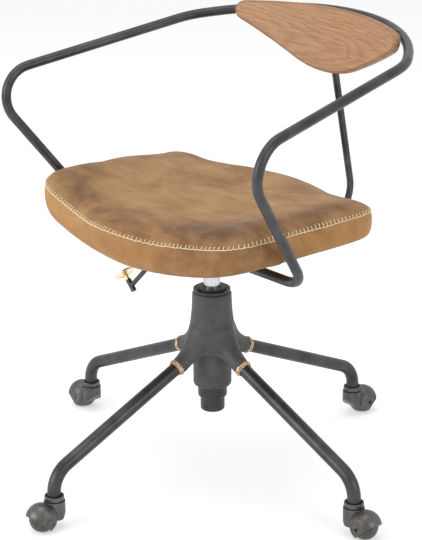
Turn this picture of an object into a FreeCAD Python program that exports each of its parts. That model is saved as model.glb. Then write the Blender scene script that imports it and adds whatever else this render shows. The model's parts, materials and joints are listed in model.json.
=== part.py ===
"""Bankers swivel chair: four-leg cast hub base on ball casters, gas lift, leather saddle seat,
one bent tube for both arms and the back rail, and a curved oak back panel on a steel post.

Millimetres. +Z is up, the floor is Z = 0 and the lift's axis is X = Y = 0. The chair faces -Y,
and the sitter's left hand is on +X.
"""
import FreeCAD, Part
import os
from math import sin, cos, tan, atan2, asin, acos, sqrt, pi, radians

V = FreeCAD.Vector
UP = V(0, 0, 1)
SIDE = V(1, 0, 0)
REAR = V(0, 1, 0)

# Clearances and small thicknesses that several fits share.
run_fit = 0.05          # radial clearance of a shaft that turns or slides
press_gap = 0.02        # radial clearance of a pressed or brazed joint
air_gap = 0.3           # between pieces that move past each other without a fit
weld_seat = 0.02        # left between pieces that are welded or clamped face to face

# Base casting.
hub_bottom_z = 152.0
hub_top_z = 318.0
hub_barrel_r = 32.0     # lower cylinder under the arches
hub_skirt_r = 40.5      # widest ring, where the arches end
hub_skirt_z = 216.0
hub_neck_r = 33.0       # ring under the top edge
hub_neck_z = 300.0
hub_waist_r = 36.2
hub_waist_z = 265.0
hub_rim_r = 30.0        # flat top ring, inside the rounded edge
hub_edge = 4.8
hub_arch_r = 47.0       # arches between the legs, open below
socket_r = 13.6
socket_end_r = 74.0     # distance of a socket's mouth from the lift's axis
# The casting flares out to each socket through round sections:
# distance from the lift's axis, height, slope below level and radius.
hub_flare = ((4.0, 262.0, 80.0, 30.0), (17.0, 246.0, 62.0, 27.5), (32.0, 229.5, 43.0, 22.5),
             (48.0, 216.6, 29.0, 18.0), (60.0, 209.2, 24.5, 15.6))
socket_bore_from = 42.0

# Legs: bent tubes that drop 24 degrees and then turn down to the casters.
leg_count = 4
leg_names = ("left", "rear", "right", "front")
base_turn = 1.1         # degrees that the legs stand turned from the chair's axes
leg_tube_r = 11.0
leg_wall = 1.8
leg_fall = 23.7         # degrees below level
leg_ref_r = 50.0        # a point on the leg's line: distance from the axis and height
leg_ref_z = 213.4
stem_r_pos = 334.4      # distance of a caster's stem from the lift's axis
leg_bend_r = 45.0
leg_end_z = 50.0
bead_long = 8.5         # brazing around each socket's mouth
bead_swell = 0.9
bead_thin = 1.2         # its end over the leg

# Ball casters.
wheel_r = 21.0
wheel_half = 18.4       # flat cheeks of the ball, either side of its middle
wheel_offset = 25.0     # trail of the ball behind the stem
wheel_play = 0.8
hood_r = 25.6
hood_shift = 1.6        # the hood's centre lies this much outward and above the ball's
hood_half = 20.6
hood_inner_half = 19.0
hood_rim_angle = 42.6   # slope of the hood's mouth
hood_rim_depth = 9.5    # the mouth's distance from the ball's centre
hood_floor_gap = 4.0
neck_r = 17.3
neck_top_z = 46.2
neck_cut_z = 31.0
seal_r = 14.2
seal_h = 1.8
cup_r = 15.9
cup_h = 6.6
cup_recess_r = 13.4
cup_floor = 1.5
sleeve_full_z = 58.8    # the leg is straight up to here
sleeve_top_z = 71.0
sleeve_slim_r = 7.0
caster_stem_r = 5.0
caster_stem_bottom_z = 33.5
caster_stem_top_z = 70.0
axle_r = 3.0
axle_head_r = 4.6
axle_head_h = 1.9
axle_hole_r = 1.9

# Gas lift.
column_top_z = 322.0
column_bottom_z = 131.0
column_top_r = 25.2
column_low_r = 24.4
column_wall = 2.0
column_floor = 4.0
column_edge = 4.5
bush_in_h = 72.0
bush_flange_h = 3.5
collar_r = 30.6
collar_h = 4.2
cap_r = 20.3
cap_bottom_z = 107.0
cap_wall = 2.5
cap_lip = 3.0
cylinder_r = 14.0
cylinder_wall = 1.6
cylinder_bottom_z = 168.0
cylinder_floor = 8.0
taper_from_z = 362.0
cylinder_top_z = 392.0
cylinder_tip_r = 13.0
cylinder_plug = 8.0
rod_r = 5.0
rod_bottom_z = 117.0
piston_z = 262.0
piston_h = 8.0
washer_r = 13.0
washer_h = 2.0
ball_r = 2.0
ball_ring_r = 9.0
ball_count = 10
shoulder_r = 8.0
shoulder_h = 4.0
clip_r = 8.5
clip_h = 1.5
clip_neck_r = 4.0

# Seat mechanism.
plate_z = 409.0         # underside of the mounting plate, which lies on the cross bar
plate_t = 3.0
plate_half_x = 85.0
plate_front_y = -62.0
plate_rear_y = 128.0
plate_corner = 10.0
box_half_y = 25.5
box_front_x = 32.0
box_lever_x = -50.0
box_bottom_z = 378.0
box_t = 2.5
socket_tube_r = 19.0
bolt_x = 65.0
bolt_front_y = 16.0
bolt_rear_y = 108.0
bolt_r = 4.0
bolt_head_r = 6.5
bolt_head_h = 5.0
spacer_r = 8.0
nut_r = 6.0
nut_flange_r = 11.0
nut_flange_t = 1.5
nut_h = 8.0

# Height lever, all in the plane Y = 0.
lever_z = 402.0
lever_r = 4.25
lever_pivot_x = -32.0
lever_inner_x = 6.0
lever_bend_x = -80.0
lever_bend_r = 14.0
tee_x = -216.4
tee_z = 267.7
tee_r = 5.0
tee_below = 10.5
tee_above = 13.0
lever_stem_r = 3.9
stem_in = 8.0
disc_r = 18.5
disc_t = 4.2
disc_seat = 11.0        # from the tee's end to the disc's near face
lever_stem_out = disc_seat + disc_t
finial_r = 5.2
finial_h = 4.5
pin_r = 2.5
pin_head_r = 4.0
pin_head_h = 1.6
button_r = 2.4
button_head_r = 3.2
button_head_h = 2.0
button_gap = 0.5        # under the lever at rest
button_in = 12.0

# Bent tube: cross bar under the seat, both arms and the back rail.
tube_r = 8.0
tube_wall = 1.6
bar_y = -36.8
bar_z = plate_z - tube_r - weld_seat
low_x = 263.5           # lower corner, beside the seat
arm_x = 325.5           # front corner of an arm
arm_y = -218.1
arm_z = 648.8
arm_rise = 0.165        # rise of the arms' plane toward the back, per unit of Y
low_bend_r = 55.0
arm_bend_r = 52.0
rail_back_y = 312.0     # rearmost point of the back rail's centre line
rail_r = 310.0          # its radius, seen from above
rail_centre_y = rail_back_y - rail_r
rail_corner_r = 92.0
rail_turn = 52.8        # degrees of rail on each side, before its corner starts
tube_gap = 1.0          # the tube's two ends meet in a splice at X = 0
splice_half = 22.0
saddle_x = 70.0
saddle_w = 16.0
saddle_t = 3.0
saddle_ear = 16.5      # screws either side of the bar
saddle_foot = 7.0
small_screw_r = 2.5
small_head_r = 4.4
small_head_h = 2.6

# Oak back panel: part of a leaning cylinder, hollow toward the sitter.
panel_gap = 66.0        # the panel's lower end lies this far in front of the rail
panel_foot_y = rail_back_y - panel_gap
panel_foot_z = 648.0
panel_lean = 14.3       # degrees
panel_r = 390.0
panel_t = 14.0
panel_h = 106.0
panel_low = 1.5
panel_chin_x = 75.0     # half of the rounded chin, and its radius
panel_chin_r = 201.0
panel_nose_r = 17.0     # rounded ends
panel_top_r = 934.0
panel_edge = 5.0        # rounding of its long edges

# Post and its fittings.
post_r = 6.0
post_run_z = 382.0
post_gap = 35.9         # the post's leaning line at post_z lies this far in front of the rail
post_y = rail_back_y - post_gap
post_z = 632.4
post_lean = 0.1985      # forward lean of the post, per unit of Z
post_bend_r = 55.0
post_top_bend_r = 40.0
post_front_y = 64.0
post_top_h = 80.0       # along the panel
bracket_t = 3.0
bracket_wide = 88.0
bracket_edge = 10.0     # screws from its sides and ends
bracket_from_h = 20.0
bracket_to_h = 76.0
bracket_corner = 8.0
clamp_half_x = 20.0
clamp_front_y = 70.0
clamp_rear_y = 122.0
clamp_under = 6.0
clamp_screw_in = 8.0    # screws from the block's ends
clamp_screw_l = 14.0
rail_screw_x = 150.0
rail_spacer_r = 7.0
spot_face = 0.7         # flat cut in the rail under each screw head
screw_bite = 10.0

# Saddle seat.
seat_half = 248.0
seat_front_y = -215.0
seat_rear_y = 198.0
seat_front_r = 560.0    # outline radii, seen from above
seat_rear_r = 420.0
seat_front_corner = 50.0
seat_rear_corner = 62.0
under_z = 402.0         # lower edge at the middle
under_saddle_r = 800.0  # how it rises toward the sides
top_z = 486.0           # crown at the middle
top_saddle_r = 1600.0   # how the crown rises toward the sides
top_crown_r = 2400.0    # how it falls toward the front and the rear
crown_round = 16.0
under_round = 9.0
front_low_y = -187.0    # front edge at under_z, where it is also flatter
front_low_r = 1700.0
ring_low = -12.0        # heights over under_z where the side's form is set
ring_bulge = 28.0
ring_seam = 66.0
ring_top = 110.0
draw_low = 7.0          # how far the side is drawn in there
draw_top = 3.0
skin = 2.4
board_z = 415.5         # underside of the board at the middle
board_saddle_r = 1200.0
board_t = 12.0
board_half = 205.0
board_front_y = -128.0
board_rear_y = 158.0
board_corner = 46.0
board_rim = 25.0        # how far the cover wraps in under the board
seat_gap = 0.3          # between the foam and the board

bolt_places = [(side * bolt_x, y) for side in (-1, 1) for y in (bolt_front_y, bolt_rear_y)]
clamp_screw_y = [clamp_front_y + clamp_screw_in, clamp_rear_y - clamp_screw_in]
parts = {}


def cyl(r, h, base, axis=UP):
    return Part.makeCylinder(r, h, base, axis)


def tube_of(r_out, r_in, h, base, axis=UP):
    return cyl(r_out, h, base, axis).cut(cyl(r_in, h, base, axis))


def box(x0, x1, y0, y1, z0, z1):
    return Part.makeBox(x1 - x0, y1 - y0, z1 - z0, V(x0, y0, z0))


def turned(points, axis_base=V(0, 0, 0), axis=UP):
    """Solid turned about Z from (radius, height) points."""
    wire = Part.makePolygon([V(r, 0, z) for r, z in points + points[:1]])
    return Part.Face(wire).revolve(V(0, 0, 0), UP, 360)


def arc(a, b, c):
    return Part.Arc(a, b, c).toShape()


def bent_path(points, radii):
    """Wire through the corner points, with each inner corner rounded to its radius."""
    edges = []
    here = points[0]
    for i, r in enumerate(radii):
        before, corner, after = points[i], points[i + 1], points[i + 2]
        back = (before - corner).normalize()
        ahead = (after - corner).normalize()
        half = back.getAngle(ahead) / 2
        reach = r / tan(half)
        inward = (back + ahead).normalize()
        middle = corner + inward * (r / sin(half) - r)
        start = corner + back * reach
        end = corner + ahead * reach
        edges.append(Part.makeLine(here, start))
        edges.append(arc(start, middle, end))
        here = end
    edges.append(Part.makeLine(here, points[-1]))
    return Part.Wire(edges)


def swept(path, r):
    """Round bar of radius r along the path."""
    first = path.Edges[0]
    start = first.valueAt(first.FirstParameter)
    along = first.tangentAt(first.FirstParameter)
    ring = Part.Wire(Part.makeCircle(r, start, along))
    return path.makePipeShell([ring], True, True)


def hollow_swept(path, r, wall):
    return swept(path, r).cut(swept(path, r - wall))


def screw(head_r, head_h, shank_r, length, base, axis):
    """Head's underside at base, shank along the axis, head the other way."""
    axis = V(axis).normalize()
    head = cyl(head_r, head_h, base - axis * head_h, axis)
    head = head.makeFillet(head_h * 0.45, [head.Edges[i] for i in far_edges(head, base)])
    return head.fuse(cyl(shank_r, length, base, axis)).removeSplitter()


def far_edges(shape, point):
    """Index of the round edge that lies farthest from the point."""
    rounds = [(e.CenterOfMass.distanceToPoint(point), i) for i, e in enumerate(shape.Edges)
              if isinstance(e.Curve, Part.Circle)]
    return [max(rounds)[1]]


def group(shapes):
    return Part.makeCompound(shapes)


def leg_angle(i):
    return base_turn + 360.0 / leg_count * i


def at_leg(shape, i):
    """A shape drawn for a leg on +X, turned to leg i."""
    turned_shape = shape.copy()
    turned_shape.rotate(V(0, 0, 0), UP, leg_angle(i))
    return turned_shape


def leg_line_z(r):
    return leg_ref_z - (r - leg_ref_r) * tan(radians(leg_fall))


leg_dir = V(cos(radians(leg_fall)), 0, -sin(radians(leg_fall)))


def on_leg(r):
    return V(r, 0, leg_line_z(r))


# Base casting and legs
def make_base():
    column_slope = (column_top_r - column_low_r) / (column_top_z - hub_bottom_z)

    def column_r(z):
        return column_low_r + max(0.0, z - hub_bottom_z) * column_slope

    def rounded_end(solid, z):
        ends = [e for e in solid.Edges if isinstance(e.Curve, Part.Circle) and abs(e.Curve.Center.z - z) < 0.01]
        return solid.makeFillet(hub_edge, ends)

    body = turned([
        (0, hub_bottom_z), (hub_skirt_r, hub_bottom_z),
        (hub_skirt_r, hub_skirt_z), (hub_skirt_r - 0.8, hub_skirt_z + 24),
        (hub_waist_r, hub_waist_z), (hub_neck_r + 1, hub_neck_z - 17),
        (hub_neck_r, hub_neck_z), (hub_rim_r + 2.6, hub_top_z), (0, hub_top_z)])
    body = rounded_end(body, hub_top_z)
    rounds = []
    for reach, height, slope, radius in hub_flare:
        down = V(cos(radians(slope)), 0, -sin(radians(slope)))
        rounds.append(Part.Wire(Part.makeCircle(radius, V(reach, 0, height), down)))
    rounds.append(Part.Wire(Part.makeCircle(socket_r, on_leg(socket_end_r), leg_dir)))
    flare = Part.makeLoft(rounds, True, False)
    for i in range(leg_count):
        body = body.fuse(at_leg(flare, i))
    half_step = 180.0 / leg_count
    for i in range(leg_count):
        arch = cyl(hub_arch_r, 2 * socket_end_r, V(0, 0, hub_skirt_z - hub_arch_r), SIDE)
        arch.rotate(V(0, 0, 0), UP, half_step)
        body = body.cut(at_leg(arch, i))
    barrel = cyl(hub_barrel_r, hub_skirt_z - hub_bottom_z + 10, V(0, 0, hub_bottom_z))
    body = body.fuse(rounded_end(barrel, hub_bottom_z))
    body = body.removeSplitter()
    bore_len = (socket_end_r - socket_bore_from) / cos(radians(leg_fall)) + 20
    for i in range(leg_count):
        hole = cyl(leg_tube_r + press_gap, bore_len, on_leg(socket_bore_from), leg_dir)
        body = body.cut(at_leg(hole, i))
    bore = Part.makeCone(column_r(hub_bottom_z) + press_gap, column_r(hub_top_z) + press_gap,
                         hub_top_z - hub_bottom_z, V(0, 0, hub_bottom_z))
    parts["base_hub"] = body.cut(bore)

    corner = on_leg(stem_r_pos)
    leg_start = on_leg(socket_bore_from + 1.0)
    path = bent_path([leg_start, corner, V(stem_r_pos, 0, leg_end_z)], [leg_bend_r])
    leg = hollow_swept(path, leg_tube_r, leg_wall)
    mouth = on_leg(socket_end_r) + leg_dir * weld_seat
    widest = mouth + leg_dir * (bead_long * 0.35)
    bead = Part.makeCone(socket_r - 0.2, socket_r + bead_swell, bead_long * 0.35, mouth, leg_dir)
    bead = bead.fuse(Part.makeCone(socket_r + bead_swell, leg_tube_r + bead_thin, bead_long * 0.65,
                                   widest, leg_dir)).removeSplitter()
    bead = bead.cut(cyl(leg_tube_r + air_gap, 3 * bead_long, mouth - leg_dir * bead_long, leg_dir))
    for i, name in enumerate(leg_names):
        parts["leg_" + name] = at_leg(leg, i)
    parts["braze_beads"] = group([at_leg(bead, i) for i in range(leg_count)])

    # Gas column: a tapered tube held in the casting, with a floor for the thrust bearing.
    shell = turned([
        (0, column_bottom_z), (column_low_r, column_bottom_z), (column_low_r, hub_bottom_z),
        (column_r(column_top_z), column_top_z), (0, column_top_z)])
    low_edge = [e for e in shell.Edges if isinstance(e.Curve, Part.Circle)
                and abs(e.Curve.Center.z - column_bottom_z) < 0.01]
    shell = shell.makeFillet(column_edge, low_edge)
    inner_r = column_low_r - column_wall
    floor_z = column_bottom_z + column_floor
    shell = shell.cut(cyl(inner_r, column_top_z - floor_z, V(0, 0, floor_z)))
    shell = shell.cut(cyl(rod_r + run_fit, column_floor, V(0, 0, column_bottom_z)))
    parts["gas_column"] = shell

    bush_z = column_top_z - bush_in_h
    bush = cyl(inner_r - press_gap, bush_in_h, V(0, 0, bush_z))
    bush = bush.fuse(cyl(column_r(column_top_z) - 1.0, bush_flange_h, V(0, 0, column_top_z + weld_seat)))
    bush = bush.fuse(cyl(inner_r - 2, 1.0, V(0, 0, column_top_z - 0.5))).removeSplitter()
    bush = bush.cut(cyl(cylinder_r + run_fit, bush_in_h + 20, V(0, 0, bush_z - 5)))
    parts["guide_bush"] = bush

    collar = tube_of(collar_r, column_r(column_top_z) + press_gap + 0.1, collar_h,
                     V(0, 0, hub_top_z + weld_seat))
    groove = tube_of(collar_r - 1.6, collar_r - 3.4, 1.6, V(0, 0, hub_top_z + collar_h - 1.6))
    collar = collar.cut(groove)
    parts["hub_collar"] = collar

    cap = cyl(cap_r, column_bottom_z - cap_bottom_z - weld_seat, V(0, 0, cap_bottom_z))
    cap = cap.makeFillet(cap_wall * 1.8, [cap.Edges[i] for i in far_edges(cap, V(0, 0, column_bottom_z))])
    cap = cap.cut(cyl(cap_r - cap_wall, 100, V(0, 0, cap_bottom_z + cap_wall)))
    parts["column_cap"] = cap

    lower = tube_of(washer_r, rod_r + 0.4, washer_h, V(0, 0, floor_z + weld_seat))
    parts["bearing_washer"] = lower
    ball_z = floor_z + washer_h + ball_r
    balls = []
    for k in range(ball_count):
        a = 2 * pi * k / ball_count
        balls.append(Part.makeSphere(ball_r - weld_seat * 2,
                                     V(ball_ring_r * cos(a), ball_ring_r * sin(a), ball_z)))
    parts["bearing_balls"] = group(balls)
    upper_z = ball_z + ball_r
    parts["bearing_race"] = tube_of(washer_r, rod_r + press_gap, washer_h, V(0, 0, upper_z))

    shoulder_z = upper_z + washer_h + weld_seat
    rod = cyl(rod_r, piston_z - rod_bottom_z, V(0, 0, rod_bottom_z))
    rod = rod.fuse(cyl(shoulder_r, shoulder_h, V(0, 0, shoulder_z)))
    rod = rod.fuse(cyl(cylinder_r - cylinder_wall - run_fit, piston_h, V(0, 0, piston_z)))
    clip_z = column_bottom_z - air_gap - clip_h
    rod = rod.cut(tube_of(rod_r + 1, clip_neck_r, clip_h, V(0, 0, clip_z))).removeSplitter()
    parts["piston_rod"] = rod
    parts["rod_clip"] = tube_of(clip_r, clip_neck_r + press_gap, clip_h - weld_seat,
                                V(0, 0, clip_z + weld_seat / 2))


# Gas cylinder, the part of the lift that rises with the seat
def make_lift():
    body = turned([
        (0, cylinder_bottom_z), (cylinder_r, cylinder_bottom_z), (cylinder_r, taper_from_z),
        (cylinder_tip_r, cylinder_top_z), (0, cylinder_top_z)])
    inner = cylinder_r - cylinder_wall
    bore_from = cylinder_bottom_z + cylinder_floor
    bore_to = taper_from_z
    body = body.cut(cyl(inner, bore_to - bore_from, V(0, 0, bore_from)))
    body = body.cut(cyl(inner - 3, cylinder_top_z - cylinder_plug - bore_to + 1, V(0, 0, bore_to - 1)))
    body = body.cut(cyl(rod_r + run_fit, cylinder_floor + 2, V(0, 0, cylinder_bottom_z - 1)))
    body = body.cut(cyl(button_r + run_fit, cylinder_plug + 4, V(0, 0, cylinder_top_z - cylinder_plug - 2)))
    parts["gas_cylinder"] = body

    button_top = lever_z - lever_r - button_gap
    head_z = button_top - button_head_h
    button = cyl(button_r, head_z - (cylinder_top_z - button_in), V(0, 0, cylinder_top_z - button_in))
    head = cyl(button_head_r, button_head_h, V(0, 0, head_z))
    head = head.makeFillet(button_head_h * 0.45, [head.Edges[i] for i in far_edges(head, V(0, 0, 0))])
    button = button.fuse(head).removeSplitter()
    parts["valve_button"] = button


# Ball casters, drawn for a stem at X = 0 whose ball trails toward +X
def caster_pieces():
    ball_at = V(wheel_offset, 0, wheel_r)
    slab_half = wheel_half
    wheel = Part.makeSphere(wheel_r, ball_at)
    wheel = wheel.common(box(-99, 99, -slab_half, slab_half, -99, 99))
    wheel = wheel.cut(cyl(axle_r + run_fit, 99, V(ball_at.x, -50, ball_at.z), REAR))

    shell = Part.makeSphere(hood_r, ball_at + V(hood_shift, 0, hood_shift))
    shell = shell.common(box(-99, 99, -hood_half, hood_half, -99, 99))
    neck = cyl(neck_r, neck_top_z - neck_cut_z + 14, V(0, 0, neck_cut_z - 14))
    neck = neck.makeFillet(1.0, [neck.Edges[i] for i in far_edges(neck, V(0, 0, 0))])
    # The neck's inner side is cut off on a 45 degree slope that starts at neck_cut_z.
    wide = 90.0
    wedge = Part.makePolygon([V(-neck_r - wide, -50, neck_cut_z + wide), V(-neck_r - wide, -50, neck_cut_z - wide),
                              V(-neck_r + wide, -50, neck_cut_z - wide), V(-neck_r - wide, -50, neck_cut_z + wide)])
    wedge = Part.Face(wedge).extrude(V(0, 100, 0))
    neck = neck.cut(wedge)
    shell = shell.fuse(neck).removeSplitter()
    hollow = Part.makeSphere(wheel_r + wheel_play, ball_at)
    hollow = hollow.common(box(-99, 99, -hood_inner_half, hood_inner_half, -99, 99))
    shell = shell.cut(hollow)
    slope = radians(hood_rim_angle)
    out = V(sin(slope), 0, -cos(slope))
    mouth = Part.makeBox(120, 120, 80, V(0, 0, 0))
    mouth.translate(V(-60, -60, 0))
    mouth.rotate(V(0, 0, 0), REAR, 180 - hood_rim_angle)
    mouth.translate(ball_at + out * hood_rim_depth)
    shell = shell.cut(mouth)
    shell = shell.cut(box(-99, 99, -99, 99, -99, hood_floor_gap))
    shell = shell.cut(cyl(caster_stem_r + press_gap, 99, V(0, 0, caster_stem_bottom_z)))
    shell = shell.cut(cyl(axle_r + press_gap, 99, V(ball_at.x, -50, ball_at.z), REAR))

    stem = cyl(caster_stem_r, caster_stem_top_z - caster_stem_bottom_z, V(0, 0, caster_stem_bottom_z))

    axle = cyl(axle_r, 2 * hood_half - 1.0, V(ball_at.x, -hood_half + 1.0, ball_at.z), REAR)
    head_at = V(ball_at.x, hood_half + weld_seat, ball_at.z)
    head = cyl(axle_head_r, axle_head_h, head_at, REAR)
    head = head.makeFillet(axle_head_h * 0.8, [head.Edges[i] for i in far_edges(head, ball_at)])
    axle = axle.fuse(cyl(axle_r, 1, head_at - REAR * 0.5, REAR)).fuse(head).removeSplitter()
    axle = axle.cut(cyl(axle_hole_r, 8, V(ball_at.x, -hood_half, ball_at.z), REAR))
    return wheel, shell, stem, axle


def make_casters():
    wheel, hood, stem, axle = caster_pieces()
    cup_z = neck_top_z + air_gap + seal_h + weld_seat
    cup = cyl(cup_r, cup_h, V(0, 0, cup_z))
    cup = cup.makeFillet(1.2, [cup.Edges[i] for i in far_edges(cup, V(0, 0, 0))])
    tube_end = leg_end_z
    cup = cup.cut(cyl(cup_recess_r, 50, V(0, 0, tube_end - weld_seat)))
    sleeve_r = leg_tube_r - leg_wall - press_gap
    cup = cup.fuse(cyl(sleeve_r, sleeve_full_z - cup_z, V(0, 0, cup_z)))
    cup = cup.fuse(cyl(sleeve_slim_r, sleeve_top_z - cup_z, V(0, 0, cup_z))).removeSplitter()
    cup = cup.cut(cyl(caster_stem_r + run_fit, 200, V(0, 0, 0)))
    seal = tube_of(seal_r, caster_stem_r + 0.4, seal_h, V(0, 0, neck_top_z + air_gap))
    cups, seals = [], []
    for i, name in enumerate(leg_names):
        def placed(shape):
            moved = shape.copy()
            moved.translate(V(stem_r_pos, 0, 0))
            return at_leg(moved, i)
        parts["caster_wheel_" + name] = placed(wheel)
        parts["caster_hood_" + name] = placed(hood)
        parts["caster_stem_" + name] = placed(stem)
        parts["caster_axle_" + name] = placed(axle)
        cups.append(placed(cup))
        seals.append(placed(seal))
    parts["caster_cups"] = group(cups)
    parts["caster_seals"] = group(seals)


def saddle_z(x, mid_z, r):
    """Height at X of an arc that is lowest in the middle."""
    return mid_z + r - sqrt(r * r - x * x)


def board_top_z(x):
    """Height of the flat spot that each tee nut sits on."""
    return saddle_z(abs(x) + nut_flange_r, board_z, board_saddle_r) + board_t + weld_seat


# Plate, box, tapered socket and lever
def make_mechanism():
    def cyl_taper_r(z):
        share = max(0.0, z - taper_from_z) / (cylinder_top_z - taper_from_z)
        return cylinder_r + (cylinder_tip_r - cylinder_r) * share

    plate = box(-plate_half_x, plate_half_x, plate_front_y, plate_rear_y, plate_z, plate_z + plate_t)
    upright = [e for e in plate.Edges if abs(e.tangentAt(e.FirstParameter).z) > 0.99]
    plate = plate.makeFillet(plate_corner, upright)
    for x, y in bolt_places:
        plate = plate.cut(cyl(bolt_r + press_gap, 20, V(x, y, plate_z - 5)))
    slot_half = lever_r + 3
    plate = plate.cut(box(-plate_half_x - 1, lever_pivot_x - 14, -slot_half, slot_half, plate_z - 1,
                          plate_z + plate_t + 1))
    saddle_screw_y = [bar_y - saddle_ear, bar_y + saddle_ear]
    for x in (-saddle_x, saddle_x):
        for y in saddle_screw_y:
            plate = plate.cut(cyl(small_screw_r + press_gap, 20, V(x, y, plate_z - 5)))
    for y in clamp_screw_y:
        plate = plate.cut(cyl(small_screw_r + press_gap, 20, V(0, y, plate_z - 5)))
    parts["mounting_plate"] = plate

    top = plate_z - weld_seat
    housing = box(box_lever_x, box_front_x, -box_half_y, box_half_y, box_bottom_z, top)
    housing = housing.cut(box(box_lever_x + box_t, box_front_x - box_t, -box_half_y + box_t,
                              box_half_y - box_t, box_bottom_z + box_t, top + 1))
    housing = housing.cut(cyl(socket_tube_r + press_gap, 20, V(0, 0, box_bottom_z - 5)))
    housing = housing.cut(box(box_lever_x - 1, box_lever_x + box_t + 1, -lever_r - 1.2, lever_r + 1.2,
                              lever_z - lever_r - 1.5, top + 1))
    housing = housing.cut(cyl(pin_r + press_gap, 99, V(lever_pivot_x, -50, lever_z), REAR))
    parts["lever_box"] = housing

    tube = cyl(socket_tube_r, cylinder_top_z - taper_from_z, V(0, 0, taper_from_z))
    tube = tube.cut(Part.makeCone(cylinder_r + press_gap, cylinder_tip_r + press_gap,
                                  cylinder_top_z - taper_from_z, V(0, 0, taper_from_z)))
    parts["taper_socket"] = tube

    pin_half = box_half_y + 1.0
    pin = cyl(pin_r, 2 * pin_half, V(lever_pivot_x, -pin_half, lever_z), REAR)
    head = cyl(pin_head_r, pin_head_h, V(lever_pivot_x, box_half_y + weld_seat, lever_z), REAR)
    parts["lever_pin"] = pin.fuse(head).removeSplitter()

    # Lever: bent round bar, crosswise tee, brass stem and brass finger disc.
    tee_at = V(tee_x, 0, tee_z)
    bend_at = V(lever_bend_x, 0, lever_z)
    along = V(tee_at - bend_at).normalize()
    across = V(along.z, 0, -along.x)
    path = bent_path([V(lever_inner_x, 0, lever_z), bend_at, tee_at], [lever_bend_r])
    rod = swept(path, lever_r)
    rod = rod.cut(cyl(pin_r + run_fit, 99, V(lever_pivot_x, -50, lever_z), REAR))
    tee = cyl(tee_r, tee_below + tee_above, tee_at - across * tee_below, across)
    ends = [e for e in tee.Edges if isinstance(e.Curve, Part.Circle)]
    tee = tee.makeFillet(0.8, ends)
    rod = rod.cut(cyl(tee_r + weld_seat, 60, tee_at - across * 30, across))
    rod = max(rod.Solids, key=lambda s: s.Volume)
    parts["lever_rod"] = rod
    stem_from = tee_at + across * (tee_above - stem_in)
    disc_at = tee_at + across * (tee_above + disc_seat)
    tee = tee.cut(cyl(lever_stem_r + press_gap, stem_in + 5, stem_from, across))
    parts["lever_tee"] = tee
    stem = cyl(lever_stem_r, stem_in + lever_stem_out, stem_from, across)
    tip_at = stem_from + across * (stem_in + lever_stem_out)
    tip = cyl(finial_r, finial_h, tip_at, across)
    tip = tip.makeFillet(finial_h * 0.7, [tip.Edges[i] for i in far_edges(tip, tee_at)])
    parts["lever_stem"] = stem.fuse(tip).removeSplitter()
    disc = cyl(disc_r, disc_t - weld_seat, disc_at, across)
    rims = [e for e in disc.Edges if isinstance(e.Curve, Part.Circle)]
    disc = disc.makeFillet(disc_t * 0.3, rims)
    dish = disc_r * 0.72
    disc = disc.cut(tube_of(dish, lever_stem_r + 2.5, 0.8, disc_at - across * 0.01, across))
    disc = disc.cut(cyl(lever_stem_r + press_gap, 20, disc_at - across * 5, across))
    parts["lever_disc"] = disc

    # Fasteners that hold the seat board on the plate.
    bolts, spacers, nuts = [], [], []
    plate_top = plate_z + plate_t
    for x, y in bolt_places:
        under = saddle_z(abs(x) - spacer_r, board_z, board_saddle_r)
        spacers.append(tube_of(spacer_r, bolt_r + press_gap, under - plate_top - 2 * weld_seat,
                               V(x, y, plate_top + weld_seat)))
        board_top = board_top_z(x)
        length = board_top - plate_z - 1.0
        bolts.append(screw(bolt_head_r, bolt_head_h, bolt_r, length, V(x, y, plate_z - weld_seat), UP))
        nut = cyl(nut_flange_r, nut_flange_t, V(x, y, board_top))
        nut = nut.fuse(cyl(nut_r, nut_h, V(x, y, board_top - nut_h)))
        nuts.append(nut.cut(cyl(bolt_r + press_gap, 40, V(x, y, board_top - 30))).removeSplitter())
    parts["seat_bolts"] = group(bolts)
    parts["seat_spacers"] = group(spacers)
    parts["tee_nuts"] = group(nuts)


# The bent tube, on the arms' sloping plane from the front corners back
def arm_plane_z(y):
    return arm_z + arm_rise * (y - arm_y)


def rail_point(angle):
    """Point on the back rail, with the angle measured from the rear middle."""
    y = rail_centre_y + rail_r * cos(angle)
    return V(rail_r * sin(angle), y, arm_plane_z(y))


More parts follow.
